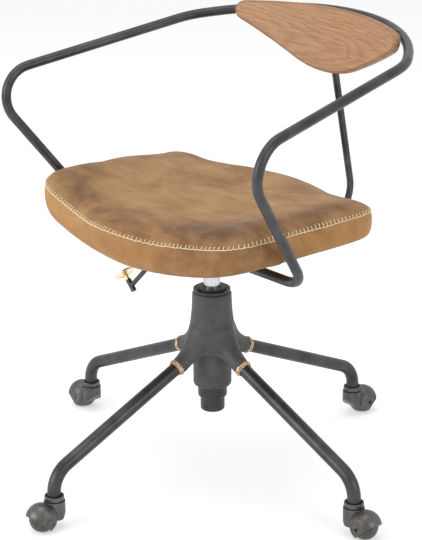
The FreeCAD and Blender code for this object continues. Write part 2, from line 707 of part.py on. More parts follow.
def make_tube():
    # Seen from above: the corner touches the rail's arc, and the arm touches the corner.
    rail_half = radians(rail_turn)
    outward = V(sin(rail_half), cos(rail_half), 0)
    corner_c = V(0, rail_centre_y, 0) + outward * (rail_r - rail_corner_r)
    join = corner_c + outward * rail_corner_r
    to_front = V(arm_x, arm_y, 0) - corner_c
    bearing = atan2(to_front.y, to_front.x) + acos(rail_corner_r / to_front.Length)
    touch = V(cos(bearing), sin(bearing), 0)
    leave = corner_c + touch * rail_corner_r
    middle = corner_c + (touch + outward).normalize() * rail_corner_r

    def lifted(p):
        return V(p.x, p.y, arm_plane_z(p.y))

    low = V(low_x, bar_y, bar_z)
    front = V(arm_x, arm_y, arm_z)
    half_path = bent_path([V(tube_gap / 2, bar_y, bar_z), low, front, lifted(leave)],
                          [low_bend_r, arm_bend_r])
    # On the sloping plane the corner and the rail are ellipse arcs, so each is taken as short circles.
    rail = [arc(lifted(leave), lifted(middle), lifted(join))]
    steps = 4
    angles = [rail_half - rail_half * k / steps for k in range(steps + 1)]
    for a0, a1 in zip(angles, angles[1:]):
        rail.append(arc(rail_point(a0), rail_point((a0 + a1) / 2), rail_point(a1)))
    right = half_path.Edges + rail
    left = [e.mirror(V(0, 0, 0), SIDE) for e in right]
    path = Part.Wire(Part.sortEdges(right + left)[0])
    outer = swept(path, tube_r)
    parts["arm_back_tube"] = outer.cut(swept(path, tube_r - tube_wall))
    splice = cyl(tube_r - tube_wall - press_gap, 2 * splice_half, V(-splice_half, bar_y, bar_z), SIDE)
    parts["tube_splice"] = splice

    # Saddles hold the cross bar up against the plate.
    saddles, screws = [], []
    top = plate_z - weld_seat
    inner = tube_r + weld_seat
    outer_r = inner + saddle_t
    ear = saddle_ear + saddle_foot
    for sx in (-1, 1):
        x = sx * saddle_x
        x0 = x - saddle_w / 2

        def at(y, z):
            return V(x0, bar_y + y, z)

        corners = [at(outer_r, bar_z), at(outer_r, top - saddle_t), at(ear, top - saddle_t), at(ear, top),
                   at(inner, top), at(inner, bar_z)]
        far_side = [V(p.x, 2 * bar_y - p.y, p.z) for p in reversed(corners)]
        edges = [Part.makeLine(a, b) for a, b in zip(corners, corners[1:])]
        edges.append(arc(corners[-1], at(0, bar_z - inner), far_side[0]))
        edges += [Part.makeLine(a, b) for a, b in zip(far_side, far_side[1:])]
        edges.append(arc(far_side[-1], at(0, bar_z - outer_r), corners[0]))
        strap = Part.Face(Part.Wire(edges)).extrude(SIDE * saddle_w)
        for y in (bar_y - saddle_ear, bar_y + saddle_ear):
            strap = strap.cut(cyl(small_screw_r + press_gap, 30, V(x, y, top - 15)))
            base = V(x, y, top - saddle_t - weld_seat)
            screws.append(screw(small_head_r, small_head_h, small_screw_r, saddle_t + plate_t + 2, base, UP))
        saddles.append(strap)
    parts["bar_saddles"] = group(saddles)
    return outer, screws


# The panel's own directions: up along it, and out of its back
lean = radians(panel_lean)
panel_up = V(0, sin(lean), cos(lean))
panel_out = V(0, cos(lean), -sin(lean))
panel_foot = V(0, panel_foot_y, panel_foot_z)


def on_panel(angle, height, radius):
    """Point by its angle about the panel's axis, height along it and distance from that axis."""
    axis_at = panel_foot + panel_up * height - panel_out * panel_r
    return axis_at + SIDE * (radius * sin(angle)) + panel_out * (radius * cos(angle))


def panel_shell(r0, r1, low, high):
    axis_at = panel_foot + panel_up * low - panel_out * panel_r
    return tube_of(r1, r0, high - low, axis_at, panel_up)


def make_back(tube_solid, plate_screws):
    def flat(x, h):
        return panel_foot + SIDE * x + panel_up * h

    # Chin arc, straight lower edges, round ends and a flat top arc, each touching the next.
    chin = asin(panel_chin_x / panel_chin_r)
    chin_h = panel_chin_r * (1 - cos(chin)) - panel_low
    from_x = panel_chin_x - panel_nose_r * sin(chin)
    from_h = chin_h + panel_nose_r * cos(chin) - (panel_h - panel_top_r)
    near = from_x * cos(chin) + from_h * sin(chin)
    left_over = (panel_top_r - panel_nose_r) ** 2 - from_x ** 2 - from_h ** 2
    run = -near + sqrt(near * near + left_over)
    nose_x = from_x + run * cos(chin)
    nose_h = from_h + run * sin(chin) + panel_h - panel_top_r
    low_touch = (nose_x + panel_nose_r * sin(chin), nose_h - panel_nose_r * cos(chin))
    tilt = atan2(nose_x, nose_h - (panel_h - panel_top_r))
    top_touch = (nose_x + panel_nose_r * sin(tilt), nose_h + panel_nose_r * cos(tilt))
    tip_point = (nose_x + panel_nose_r, nose_h)
    chin_touch = (panel_chin_x, chin_h)

    def pair(point):
        return flat(point[0], point[1]), flat(-point[0], point[1])

    (chin_r, chin_l), (low_r, low_l) = pair(chin_touch), pair(low_touch)
    (tip_r, tip_l), (top_r, top_l) = pair(tip_point), pair(top_touch)
    outline = Part.Wire([
        arc(chin_l, flat(0, -panel_low), chin_r),
        Part.makeLine(chin_r, low_r),
        arc(low_r, tip_r, top_r),
        arc(top_r, flat(0, panel_h), top_l),
        arc(top_l, tip_l, low_l),
        Part.makeLine(low_l, chin_l)])
    prism = Part.Face(outline).extrude(panel_out * 200)
    prism.translate(panel_out * -120)
    panel = panel_shell(panel_r, panel_r + panel_t, -30, 140).common(prism)
    panel = panel.Solids[0].removeSplitter()
    face_r = (panel_r, panel_r + panel_t)
    axis_foot = on_panel(0, 0, 0)

    def off_axis(p):
        step = p - axis_foot
        return (step - panel_up * step.dot(panel_up)).Length

    long_edges = [e for e in panel.Edges
                  if max(min(abs(off_axis(e.valueAt(t)) - r) for r in face_r)
                         for t in (e.FirstParameter, (e.FirstParameter + e.LastParameter) / 2)) < 0.1]
    panel = panel.makeFillet(panel_edge, long_edges)

    # Post: along under the seat, up behind it, then along the panel's back.
    post_off = panel_r + panel_t + bracket_t + post_r + 2 * weld_seat
    top_line = on_panel(0, 0, post_off)
    slope_top = tan(lean)
    meet_z = (post_y + post_lean * post_z - top_line.y + slope_top * top_line.z) / (slope_top + post_lean)
    meet = V(0, post_y - post_lean * (meet_z - post_z), meet_z)
    knee = V(0, post_y - post_lean * (post_run_z - post_z), post_run_z)
    tip = on_panel(0, post_top_h, post_off)
    path = bent_path([V(0, post_front_y, post_run_z), knee, meet, tip], [post_bend_r, post_top_bend_r])
    parts["back_post"] = swept(path, post_r)

    plate_r = panel_r + panel_t + weld_seat
    plate = panel_shell(plate_r, plate_r + bracket_t, bracket_from_h, bracket_to_h)
    cutter = Part.makeBox(bracket_wide, 60, bracket_to_h - bracket_from_h)
    cutter.translate(V(-bracket_wide / 2, 0, 0))
    cutter = cutter.makeFillet(bracket_corner,
                               [e for e in cutter.Edges if abs(e.tangentAt(e.FirstParameter).y) > 0.99])
    cutter.rotate(V(0, 0, 0), SIDE, -panel_lean)
    cutter.translate(panel_foot + panel_up * bracket_from_h - panel_out * 10)
    plate = plate.common(cutter)
    screws = []
    screw_angle = (bracket_wide / 2 - bracket_edge) / panel_r
    for a in (-screw_angle, screw_angle):
        for h in (bracket_from_h + bracket_edge, bracket_to_h - bracket_edge):
            head_at = on_panel(a, h, plate_r + bracket_t + weld_seat)
            inward = V(on_panel(a, h, 0) - head_at).normalize()
            screws.append(screw(small_head_r, small_head_h, small_screw_r, bracket_t + screw_bite, head_at, inward))
            hole = cyl(small_screw_r + press_gap, 30, head_at + inward * -10, inward)
            plate = plate.cut(hole)
            panel = panel.cut(cyl(small_screw_r + press_gap, bracket_t + screw_bite + 1, head_at, inward))
    parts["back_bracket"] = plate
    parts["bracket_screws"] = group(screws)

    # Two spacers and screws tie the panel's ends to the back rail.
    rail_angle = asin(rail_screw_x / rail_r)
    spacers, rail_screws = [], []
    for side in (-1, 1):
        at = rail_point(side * rail_angle)
        height = (at - panel_foot).dot(panel_up)
        axis_at = on_panel(0, height, 0)
        out = V(at - axis_at)
        reach = out.Length
        out.normalize()
        from_r = panel_r + panel_t + weld_seat
        spacer = tube_of(rail_spacer_r, small_screw_r + press_gap, reach - from_r, axis_at + out * from_r, out)
        spacer = spacer.cut(tube_solid)
        spacers.append(max(spacer.Solids, key=lambda s: s.Volume))
        face_at = at + out * (tube_r - spot_face)
        head_at = face_at + out * weld_seat
        length = reach + tube_r - spot_face - (panel_r + panel_t) + screw_bite
        one = screw(small_head_r, small_head_h, small_screw_r, length, head_at, out * -1)
        rail_screws.append(one)
        hole = cyl(small_screw_r + press_gap, length + 1, head_at + out * 1.0, out * -1)
        spot = cyl(small_head_r + air_gap, tube_r, face_at, out)
        parts["arm_back_tube"] = parts["arm_back_tube"].cut(hole).cut(spot)
        panel = panel.cut(hole)
    parts["rail_spacers"] = group(spacers)
    parts["rail_screws"] = group(rail_screws)
    parts["back_panel"] = panel

    # Clamp block that carries the post's front end under the plate.
    top = plate_z - weld_seat
    block = box(-clamp_half_x, clamp_half_x, clamp_front_y, clamp_rear_y,
                post_run_z - post_r - clamp_under, top)
    block = block.makeFillet(4, [e for e in block.Edges if abs(e.tangentAt(e.FirstParameter).y) > 0.99
                                 and e.CenterOfMass.z < post_run_z])
    block = block.cut(cyl(post_r + press_gap, 200, V(0, clamp_front_y - 10, post_run_z), REAR))
    screws = plate_screws
    for y in clamp_screw_y:
        block = block.cut(cyl(small_screw_r + press_gap, clamp_screw_l, V(0, y, top - clamp_screw_l + plate_t / 2)))
        head_at = V(0, y, plate_z + plate_t + weld_seat)
        screws.append(screw(small_head_r, small_head_h, small_screw_r, clamp_screw_l, head_at, UP * -1))
    parts["post_clamp"] = block
    parts["plate_screws"] = group(screws)


# Saddle seat: an outline with rounded corners, cut by a curved underside and a crowned top
def seat_outline(inset, height):
    z = under_z + height
    half = seat_half - inset
    share = height / ring_seam
    front_y = front_low_y + (seat_front_y - front_low_y) * share
    bend = 1 / front_low_r + (1 / seat_front_r - 1 / front_low_r) * min(1.0, share)
    ends = []
    for apex, arc_r, corner_r, side in (
            (front_y + inset, 1 / bend - inset, seat_front_corner - inset, -1),
            (seat_rear_y - inset, seat_rear_r - inset, seat_rear_corner - inset, 1)):
        centre = V(0, apex - side * arc_r, z)
        corner_x = half - corner_r
        corner = V(corner_x, centre.y + side * sqrt((arc_r - corner_r) ** 2 - corner_x * corner_x), z)
        out = V(corner - centre).normalize()
        middle = corner + (out + SIDE).normalize() * corner_r
        ends.append((V(0, apex, z), corner + out * corner_r, middle, V(half, corner.y, z)))

    def over(p):
        return V(-p.x, p.y, p.z)

    (front, front_touch, front_mid, front_side), (rear, rear_touch, rear_mid, rear_side) = ends
    return Part.Wire([
        arc(over(front_touch), front, front_touch),
        arc(front_touch, front_mid, front_side),
        Part.makeLine(front_side, rear_side),
        arc(rear_side, rear_mid, rear_touch),
        arc(rear_touch, rear, over(rear_touch)),
        arc(over(rear_touch), over(rear_mid), over(rear_side)),
        Part.makeLine(over(rear_side), over(front_side)),
        arc(over(front_side), over(front_mid), over(front_touch))])


def saddle_face(y, mid_z, saddle_r, flat_z):
    """Upright face across the chair between a saddle arc and a level line."""
    wide = 300.0
    high = saddle_z(wide, mid_z, saddle_r)
    return Part.Face(Part.Wire([
        arc(V(-wide, y, high), V(0, y, mid_z), V(wide, y, high)),
        Part.makeLine(V(wide, y, high), V(wide, y, flat_z)),
        Part.makeLine(V(wide, y, flat_z), V(-wide, y, flat_z)),
        Part.makeLine(V(-wide, y, flat_z), V(-wide, y, high))]))


def flat_edges(shape, low, high):
    """Edges that run level, more or less, between two heights."""
    found = []
    for e in shape.Edges:
        middle = (e.FirstParameter + e.LastParameter) / 2
        if low < e.CenterOfMass.z < high and abs(e.tangentAt(middle).z) < 0.5:
            found.append(e)
    return found


def seat_solid(inset):
    rings = ((ring_low, draw_low), (ring_bulge, 0.0), (ring_seam, 0.0), (ring_top, draw_top))
    body = Part.makeLoft([seat_outline(inset + draw, height) for height, draw in rings], True, False)
    mid_y = (seat_front_y + seat_rear_y) / 2
    top = top_z - inset
    hinge = V(0, mid_y, top - top_crown_r)
    swing = 20
    crown = saddle_face(mid_y, top, top_saddle_r, top - top_crown_r / 2)
    crown.rotate(hinge, SIDE, -swing)
    body = body.common(crown.revolve(hinge, SIDE, 2 * swing))
    floor = saddle_face(seat_front_y - 50, under_z + inset, under_saddle_r, top + 200)
    body = body.common(floor.extrude(REAR * 600)).Solids[0]
    split_z = (under_z + top_z) / 2 + 12
    body = body.makeFillet(crown_round - inset, flat_edges(body, split_z, top + 100))
    return body.makeFillet(under_round - inset, flat_edges(body, 0, split_z))


def make_seat():
    outer = seat_solid(0.0)
    core = seat_solid(skin)
    axis_z = board_z + board_saddle_r

    def rounded_block(grow, corner, high):
        block = box(-board_half - grow, board_half + grow, board_front_y - grow, board_rear_y + grow,
                    under_z - 50, high)
        return block.makeFillet(corner, [e for e in block.Edges if abs(e.tangentAt(e.FirstParameter).z) > 0.99])

    blank = rounded_block(0, board_corner, top_z + 40)
    below = cyl(board_saddle_r, 999, V(0, -500, axis_z), REAR)
    above = cyl(board_saddle_r - board_t, 999, V(0, -500, axis_z), REAR)
    board = blank.common(below).cut(above).Solids[0]

    # The foam is cut away round the board, and through the open middle under it.
    opening = rounded_block(-board_rim, board_corner - board_rim, under_z + 60).cut(above)
    room = rounded_block(seat_gap, board_corner, top_z + 40)
    room = room.common(cyl(board_saddle_r + seat_gap, 999, V(0, -500, axis_z), REAR))
    room = room.cut(cyl(board_saddle_r - board_t - seat_gap, 999, V(0, -500, axis_z), REAR))
    foam = core.cut(room).cut(opening)
    cover = outer.cut(core).cut(opening)
    for x, y in bolt_places:
        flat = board_top_z(x)
        board = board.cut(cyl(nut_r + press_gap, 80, V(x, y, flat - 50)))
        board = board.cut(cyl(nut_flange_r + press_gap, 30, V(x, y, flat - weld_seat)))
        foam = foam.cut(cyl(nut_flange_r + seat_gap, nut_flange_t + 4.0, V(x, y, flat - 1.0)))
    parts["seat_board"] = board
    parts["seat_foam"] = foam
    parts["seat_cover"] = cover


make_base()
make_lift()
make_casters()
make_mechanism()
make_back(*make_tube())
make_seat()

os.makedirs("parts", exist_ok=True)
for node, shape in parts.items():
    shape.exportStep("parts/" + node + ".step")
print(len(parts), "parts")
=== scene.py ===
"""Looks of the bankers swivel chair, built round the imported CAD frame. Metres, +Z up, facing -Y."""
import json
import math
import bpy
import numpy as np
from mathutils import Vector, Matrix
from mathutils.bvhtree import BVHTree
from mathutils.kdtree import KDTree


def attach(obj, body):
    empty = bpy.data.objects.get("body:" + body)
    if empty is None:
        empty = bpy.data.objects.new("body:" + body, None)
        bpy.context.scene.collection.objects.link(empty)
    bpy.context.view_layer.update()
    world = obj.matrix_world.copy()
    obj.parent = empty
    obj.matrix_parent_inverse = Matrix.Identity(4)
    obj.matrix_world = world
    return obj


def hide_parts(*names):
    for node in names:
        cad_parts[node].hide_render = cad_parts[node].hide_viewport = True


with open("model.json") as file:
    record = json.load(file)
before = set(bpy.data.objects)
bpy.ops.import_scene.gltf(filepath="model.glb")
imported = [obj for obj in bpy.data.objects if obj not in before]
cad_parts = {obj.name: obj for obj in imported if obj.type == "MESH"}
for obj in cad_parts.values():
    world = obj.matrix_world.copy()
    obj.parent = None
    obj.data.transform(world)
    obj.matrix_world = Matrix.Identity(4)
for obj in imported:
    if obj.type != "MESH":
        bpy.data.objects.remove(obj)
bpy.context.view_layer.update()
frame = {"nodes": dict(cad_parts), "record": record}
nodes = frame["nodes"]
scene = bpy.context.scene
MM = 0.001


# Camera, solved from the photograph
def make_camera():
    az, el, roll = math.radians(49.92), math.radians(19.09), math.radians(-0.42)
    back = Vector((math.sin(az) * math.cos(el), -math.cos(az) * math.cos(el), math.sin(el)))
    right = Vector((math.cos(az), math.sin(az), 0))
    up = back.cross(right)
    r = right * math.cos(roll) + up * math.sin(roll)
    u = up * math.cos(roll) - right * math.sin(roll)
    data = bpy.data.cameras.new("photo_camera")
    data.sensor_fit = "VERTICAL"
    data.sensor_height = 36.0
    data.lens = 127.31
    data.shift_x = -0.0002
    data.shift_y = -0.0018
    data.clip_end = 60
    camera = bpy.data.objects.new("photo_camera", data)
    scene.collection.objects.link(camera)
    place = Matrix((r, u, back)).transposed().to_4x4()
    place.translation = Vector((2.2630, -1.9055, 1.3784))
    camera.matrix_world = place
    scene.camera = camera


# Node helpers
def srgb(r, g, b):
    def lin(c):
        c = c / 255
        return c / 12.92 if c <= 0.04045 else ((c + 0.055) / 1.055) ** 2.4
    return (lin(r), lin(g), lin(b), 1.0)


class Look:
    """A Principled material with short names for the nodes it is made of."""

    def __init__(self, name, rough=0.5, metal=0.0, **sockets):
        self.mat = bpy.data.materials.new(name)
        self.mat.use_nodes = True
        self.tree = self.mat.node_tree
        self.bsdf = self.tree.nodes["Principled BSDF"]
        self.set("Roughness", rough)
        self.set("Metallic", metal)
        for key, value in sockets.items():
            self.set(key.replace("_", " "), value)
        texture = self.add("ShaderNodeTexCoord")
        self.coords = texture.outputs["Object"]
        self.normal = texture.outputs["Normal"]

    def add(self, kind, **settings):
        node = self.tree.nodes.new(kind)
        for key, value in settings.items():
            setattr(node, key, value)
        return node

    def put(self, socket, value):
        if isinstance(value, bpy.types.NodeSocket):
            self.tree.links.new(value, socket)
        else:
            socket.default_value = value

    def set(self, name, value):
        self.put(self.bsdf.inputs[name], value)

    def stretch(self, scale=(1, 1, 1), turn=(0, 0, 0), source=None, move=(0, 0, 0)):
        node = self.add("ShaderNodeMapping")
        self.put(node.inputs["Vector"], source or self.coords)
        node.inputs["Scale"].default_value = scale
        node.inputs["Rotation"].default_value = [math.radians(a) for a in turn]
        node.inputs["Location"].default_value = move
        return node.outputs["Vector"]

    def noise(self, scale, detail=3, rough=0.5, source=None, warp=0.0):
        node = self.add("ShaderNodeTexNoise")
        self.put(node.inputs["Vector"], source or self.coords)
        node.inputs["Scale"].default_value = scale
        node.inputs["Detail"].default_value = detail
        node.inputs["Roughness"].default_value = rough
        node.inputs["Distortion"].default_value = warp
        return node.outputs["Fac"]

    def cells(self, scale, source=None, feature="DISTANCE_TO_EDGE", jitter=1.0):
        node = self.add("ShaderNodeTexVoronoi", feature=feature)
        self.put(node.inputs["Vector"], source or self.coords)
        node.inputs["Scale"].default_value = scale
        node.inputs["Randomness"].default_value = jitter
        return node.outputs["Distance"]

    def ramp(self, fac, *stops):
        node = self.add("ShaderNodeValToRGB")
        self.put(node.inputs["Fac"], fac)
        line = node.color_ramp
        while len(line.elements) > 1:
            line.elements.remove(line.elements[-1])
        line.elements[0].position = stops[0][0]
        line.elements[0].color = self.grey(stops[0][1])
        for at, colour in stops[1:]:
            line.elements.new(at).color = self.grey(colour)
        return node.outputs["Color"]

    @staticmethod
    def grey(value):
        return value if isinstance(value, tuple) else (value, value, value, 1.0)

    def mix(self, fac, a, b, blend="MIX"):
        node = self.add("ShaderNodeMix", data_type="RGBA", blend_type=blend)
        self.put(node.inputs["Factor"], fac)
        self.put(node.inputs[6], a)
        self.put(node.inputs[7], b)
        return node.outputs[2]

    def calc(self, op, a, b=0.0, clamp=False):
        node = self.add("ShaderNodeMath", operation=op, use_clamp=clamp)
        self.put(node.inputs[0], a)
        self.put(node.inputs[1], b)
        return node.outputs[0]

    def vector(self, op, a, b=(0, 0, 0)):
        node = self.add("ShaderNodeVectorMath", operation=op)
        self.put(node.inputs[0], a)
        self.put(node.inputs[1], b)
        return node.outputs["Value" if op == "DOT_PRODUCT" else "Vector"]

    def attribute(self, name):
        return self.add("ShaderNodeAttribute", attribute_name=name).outputs["Fac"]

    def bump(self, height, distance, strength=1.0, base=None):
        node = self.add("ShaderNodeBump")
        self.put(node.inputs["Height"], height)
        node.inputs["Distance"].default_value = distance
        node.inputs["Strength"].default_value = strength
        if base:
            self.put(node.inputs["Normal"], base)
        return node.outputs["Normal"]


def leather():
    k = Look("aged_leather", Specular_IOR_Level=0.28)
    cloudy = k.noise(7.5, 5, 0.62, k.stretch((1, 1.35, 1), (0, 0, 24)), 0.7)
    blotch = k.noise(21, 4, 0.6, k.stretch((1, 1.6, 1), (0, 0, -18)), 0.5)
    smear = k.noise(60, 5, 0.7, k.stretch((0.28, 1.5, 1), (0, 0, 12)), 1.0)
    tone = k.calc("ADD", k.calc("MULTIPLY", cloudy, 0.55),
                  k.calc("ADD", k.calc("MULTIPLY", blotch, 0.27), k.calc("MULTIPLY", smear, 0.18)))
    top = k.ramp(tone, (0.34, srgb(116, 80, 49)), (0.44, srgb(153, 113, 73)), (0.51, srgb(171, 131, 87)),
                 (0.6, srgb(184, 145, 100)), (0.7, srgb(196, 159, 114)))
    band = k.ramp(tone, (0.32, srgb(146, 99, 56)), (0.45, srgb(175, 127, 77)), (0.55, srgb(187, 141, 89)),
                  (0.7, srgb(200, 156, 105)))
    colour = k.mix(k.attribute("band"), top, band)
    burn = k.calc("MULTIPLY", k.attribute("burn"),
                  k.calc("ADD", k.ramp(blotch, (0.3, 0.9), (0.72, 0.4)),
                         k.ramp(smear, (0.4, 0.2), (0.62, 0.0))))
    colour = k.mix(k.calc("MULTIPLY", burn, 0.85, True), colour, srgb(92, 60, 38))
    rub = k.ramp(k.noise(95, 6, 0.75, k.stretch((0.2, 1.9, 1), (0, 0, 38)), 1.6), (0.6, 0.0), (0.72, 1.0))
    colour = k.mix(k.calc("MULTIPLY", rub, 0.22), colour, srgb(210, 170, 122))
    pores = k.ramp(k.noise(1500, 2, 0.6), (0.35, 0.84), (0.6, 1.05))
    colour = k.mix(0.35, colour, pores, "MULTIPLY")
    k.set("Base Color", colour)
    k.set("Roughness", k.calc("ADD", k.calc("MULTIPLY", smear, 0.22),
                              k.calc("SUBTRACT", 0.5, k.calc("MULTIPLY", burn, 0.1))))
    pebble = k.cells(620, k.stretch((1, 1, 1), (20, 15, 0)), "SMOOTH_F1")
    crease = k.ramp(k.cells(85, k.stretch((0.6, 1.4, 1), (0, 0, 30))), (0.0, 0.0), (0.07, 1.0))
    shape = k.bump(pebble, 0.00028, 0.55)
    shape = k.bump(k.noise(1700, 3, 0.6), 0.00016, 0.5, shape)
    shape = k.bump(crease, 0.00022, 0.25, shape)
    k.set("Normal", k.bump(k.noise(28, 3, 0.5), 0.0022, 0.35, shape))
    return k.mat


# The back panel leans on a cylinder: its lean in degrees, and that cylinder's axis and the panel's
# foot as they lie once the lean is taken out
PANEL_LEAN = 14.3
PANEL_AXIS_Y = -0.3116
PANEL_FOOT_Z = 0.6887


def oak():
    k = Look("oiled_oak", Specular_IOR_Level=0.3)
    upright = k.stretch(turn=(PANEL_LEAN, 0, 0))
    parts = k.add("ShaderNodeSeparateXYZ")
    k.put(parts.inputs[0], upright)
    along, height = parts.outputs["X"], k.calc("SUBTRACT", parts.outputs["Z"], PANEL_FOOT_Z)

    # Growth rings cut at a slant: nested tongues with ragged ends, and long lines above them
    off_middle = k.calc("SUBTRACT", height, 0.040)
    tongue = k.calc("MULTIPLY", k.calc("MULTIPLY", off_middle, off_middle), 120.0)
    swell = k.noise(1.0, 3, 0.55, k.stretch((7, 0, 24), source=upright), 0.3)
    teeth = k.noise(1.0, 3, 0.7, k.stretch((22, 0, 620), source=upright), 0.2)
    rings = k.calc("DIVIDE", k.calc("ADD", along, tongue), 0.060)
    rings = k.calc("ADD", rings, k.calc("MULTIPLY", swell, 3.2))
    rings = k.calc("ADD", rings, k.calc("MULTIPLY", teeth, 1.5))
    ring = k.calc("FRACT", rings)
    streak = k.noise(1.0, 6, 0.72, k.stretch((9, 0, 360), source=upright), 0.25)
    fibre = k.noise(1.0, 4, 0.7, k.stretch((34, 300, 1500), source=upright))
    colour = k.ramp(ring, (0.0, srgb(155, 110, 80)), (0.1, srgb(166, 121, 89)), (0.45, srgb(185, 143, 107)),
                    (0.92, srgb(196, 156, 119)), (1.0, srgb(176, 134, 99)))
    lines = k.ramp(streak, (0.36, srgb(146, 102, 74)), (0.5, srgb(184, 141, 105)),
                   (0.66, srgb(206, 166, 128)))
    colour = k.mix(0.42, colour, lines)
    dashes = k.ramp(fibre, (0.34, 1.0), (0.45, 0.0))
    colour = k.mix(k.calc("MULTIPLY", dashes, 0.3), colour, srgb(112, 76, 52))

    # Darker rounded edge, darkest where the face turns into it
    outward = k.vector("MULTIPLY", k.vector("SUBTRACT", upright, (0, PANEL_AXIS_Y, 0)), (1, 1, 0))
    facing = k.vector("DOT_PRODUCT", k.vector("NORMALIZE", outward),
                      k.stretch(turn=(PANEL_LEAN, 0, 0), source=k.normal))
    edge = k.ramp(k.calc("MULTIPLY", facing, -1.0), (0.0, 0.55), (0.62, 0.42), (0.84, 0.8),
                  (0.93, 0.7), (0.985, 0.0))
    colour = k.mix(k.calc("MULTIPLY", edge, 0.62), colour, srgb(126, 82, 52))
    k.set("Base Color", colour)
    k.set("Roughness", k.ramp(streak, (0.3, 0.56), (0.7, 0.42)))
    shape = k.bump(dashes, -0.0002, 0.6)
    k.set("Normal", k.bump(streak, 0.0003, 0.3, shape))
    return k.mat


def frame_steel(name="frame_steel", low=(52, 53, 55), high=(74, 75, 78), metal=0.55, rough=0.36):
    k = Look(name, metal=metal)
    wide = k.noise(26, 4, 0.6)
    fine = k.noise(420, 3, 0.65)
    colour = k.ramp(wide, (0.35, srgb(*low)), (0.65, srgb(*high)))
    colour = k.mix(k.ramp(fine, (0.58, 0.0), (0.72, 0.35)), colour, srgb(98, 96, 94))
    k.set("Base Color", colour)
    k.set("Roughness", k.calc("ADD", k.calc("MULTIPLY", fine, 0.16), rough - 0.08))
    k.set("Normal", k.bump(fine, 0.00009, 0.6))
    return k.mat


def cast_iron():
    k = Look("hub_iron", metal=0.15, Specular_IOR_Level=0.4)
    sand = k.noise(520, 4, 0.75)
    lumps = k.noise(95, 4, 0.6, warp=0.5)
    colour = k.ramp(k.noise(30, 4, 0.6), (0.35, srgb(68, 69, 71)), (0.65, srgb(84, 85, 88)))
    colour = k.mix(k.ramp(sand, (0.57, 0.0), (0.68, 0.4)), colour, srgb(122, 122, 122))
    colour = k.mix(k.ramp(sand, (0.3, 0.5), (0.42, 0.0)), colour, srgb(40, 40, 42))
    k.set("Base Color", colour)
    k.set("Roughness", k.calc("ADD", k.calc("MULTIPLY", lumps, 0.2), 0.42))
    shape = k.bump(sand, 0.0005, 0.6)
    k.set("Normal", k.bump(lumps, 0.0011, 0.45, shape))
    return k.mat


def gunmetal(name, low, high, rough, metal=0.7):
    k = Look(name, metal=metal)
    cloud = k.noise(60, 5, 0.65, warp=0.4)
    fine = k.noise(700, 3, 0.6)
    k.set("Base Color", k.mix(k.ramp(fine, (0.56, 0.0), (0.7, 0.3)),
                              k.ramp(cloud, (0.35, srgb(*low)), (0.68, srgb(*high))), srgb(150, 140, 128)))
    k.set("Roughness", k.calc("ADD", k.calc("MULTIPLY", cloud, 0.22), rough - 0.1))
    k.set("Normal", k.bump(fine, 0.00008, 0.5))
    return k.mat


def plastic(name, low, high, rough):
    k = Look(name, Specular_IOR_Level=0.45)
    fine = k.noise(900, 3, 0.6)
    k.set("Base Color", k.ramp(k.noise(160, 4, 0.7), (0.4, srgb(*low)), (0.62, srgb(*high))))
    k.set("Roughness", k.calc("ADD", k.calc("MULTIPLY", fine, 0.2), rough - 0.1))
    k.set("Normal", k.bump(fine, 0.0001, 0.6))
    return k.mat


def bright(name, low, high, rough, turn_axis=(1, 1, 30)):
    k = Look(name, metal=1.0)
    lines = k.noise(120, 4, 0.7, k.stretch(turn_axis))
    k.set("Base Color", k.ramp(lines, (0.35, srgb(*low)), (0.65, srgb(*high))))
    k.set("Roughness", k.calc("ADD", k.calc("MULTIPLY", lines, 0.14), rough - 0.05))
    k.set("Normal", k.bump(lines, 0.00003, 0.4))
    return k.mat


def braze():
    k = Look("braze_brass", metal=0.65)
    lumps = k.noise(230, 4, 0.65, warp=0.8)
    colour = k.ramp(lumps, (0.34, srgb(104, 82, 62)), (0.45, srgb(168, 136, 106)),
                    (0.55, srgb(214, 182, 146)),
                    (0.66, srgb(240, 216, 184)))
    k.set("Base Color", colour)
    k.set("Roughness", k.ramp(lumps, (0.4, 0.5), (0.65, 0.28)))
    k.set("Normal", k.bump(lumps, 0.0012, 0.8))
    return k.mat


def plywood():
    k = Look("seat_plywood", rough=0.6)
    grain = k.noise(1.0, 5, 0.7, k.stretch((12, 90, 200)))
    k.set("Base Color", k.ramp(grain, (0.3, srgb(166, 132, 92)), (0.6, srgb(206, 176, 132)),
                               (0.8, srgb(218, 192, 150))))
    k.set("Normal", k.bump(grain, 0.0002, 0.5))
    return k.mat


def thread():
    k = Look("cream_thread", rough=0.72, Sheen_Weight=0.15)
    twist = k.noise(900, 2, 0.6)
    k.set("Base Color", k.ramp(twist, (0.3, srgb(222, 198, 156)), (0.6, srgb(250, 237, 207))))
    k.set("Normal", k.bump(twist, 0.0003, 0.8))
    return k.mat


# Mesh helpers
def new_object(name, verts, faces, mat, smooth=True):
    mesh = bpy.data.meshes.new(name)
    mesh.from_pydata([tuple(v) for v in verts], [], faces)
    mesh.materials.append(mat)
    if smooth:
        mesh.polygons.foreach_set("use_smooth", [True] * len(mesh.polygons))
    obj = bpy.data.objects.new(name, mesh)
    scene.collection.objects.link(obj)
    return obj


def smoothstep(a, b, x):
    t = np.clip((x - a) / (b - a), 0, 1)
    return t * t * (3 - 2 * t)


